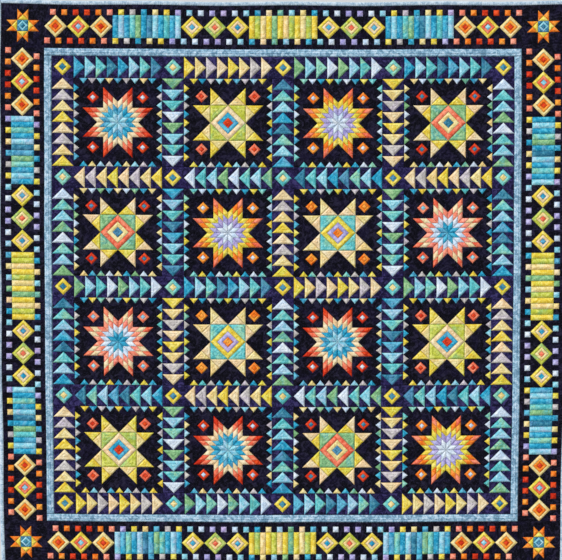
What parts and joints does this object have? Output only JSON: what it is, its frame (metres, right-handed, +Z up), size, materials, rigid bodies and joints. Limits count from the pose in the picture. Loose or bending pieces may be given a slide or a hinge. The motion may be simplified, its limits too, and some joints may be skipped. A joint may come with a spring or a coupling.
{
  "type": "star quilt",
  "caption": "Square pieced cotton bed quilt with star blocks, flying geese sashing, a narrow and a wide border and a binding, lying flat with its back down.",
  "frame": {"origin": "middle of the quilt on the surface that it lies on", "axes": "+X towards the quilt's right edge, +Y towards its top edge, +Z up out of its face"},
  "size_m": [1.9931, 1.9873, 0.0064],
  "materials": {
    "block_cotton": "quilted cotton",
    "sashing_cotton": "quilted cotton",
    "narrow_border_cotton": "quilted cotton",
    "wide_border_cotton": "quilted cotton",
    "corner_cotton": "quilted cotton",
    "binding_cotton": "folded cotton"
  },
  "bodies": {
    "root": {"star_block_r1c1": "block_cotton", "star_block_r1c2": "block_cotton", "star_block_r1c3": "block_cotton", "star_block_r1c4": "block_cotton", "star_block_r2c1": "block_cotton", "star_block_r2c2": "block_cotton", "star_block_r2c3": "block_cotton", "star_block_r2c4": "block_cotton", "star_block_r3c1": "block_cotton", "star_block_r3c2": "block_cotton", "star_block_r3c3": "block_cotton", "star_block_r3c4": "block_cotton", "star_block_r4c1": "block_cotton", "star_block_r4c2": "block_cotton", "star_block_r4c3": "block_cotton", "star_block_r4c4": "block_cotton", "sash_r1_1": "sashing_cotton", "sash_r1_2": "sashing_cotton", "sash_r1_3": "sashing_cotton", "sash_r1_4": "sashing_cotton", "sash_r1_5": "sashing_cotton", "sash_r2_1": "sashing_cotton", "sash_r2_2": "sashing_cotton", "sash_r2_3": "sashing_cotton", "sash_r2_4": "sashing_cotton", "sash_r2_5": "sashing_cotton", "sash_r3_1": "sashing_cotton", "sash_r3_2": "sashing_cotton", "sash_r3_3": "sashing_cotton", "sash_r3_4": "sashing_cotton", "sash_r3_5": "sashing_cotton", "sash_r4_1": "sashing_cotton", "sash_r4_2": "sashing_cotton", "sash_r4_3": "sashing_cotton", "sash_r4_4": "sashing_cotton", "sash_r4_5": "sashing_cotton", "sash_row_1": "sashing_cotton", "sash_row_2": "sashing_cotton", "sash_row_3": "sashing_cotton", "sash_row_4": "sashing_cotton", "sash_row_5": "sashing_cotton", "narrow_border_top": "narrow_border_cotton", "narrow_border_left": "narrow_border_cotton", "narrow_border_bottom": "narrow_border_cotton", "narrow_border_right": "narrow_border_cotton", "wide_border_top": "wide_border_cotton", "wide_border_left": "wide_border_cotton", "wide_border_bottom": "wide_border_cotton", "wide_border_right": "wide_border_cotton", "corner_block_1": "corner_cotton", "corner_block_2": "corner_cotton", "corner_block_3": "corner_cotton", "corner_block_4": "corner_cotton", "binding_top": "binding_cotton", "binding_left": "binding_cotton", "binding_bottom": "binding_cotton", "binding_right": "binding_cotton"}
  },
  "joints": []
}
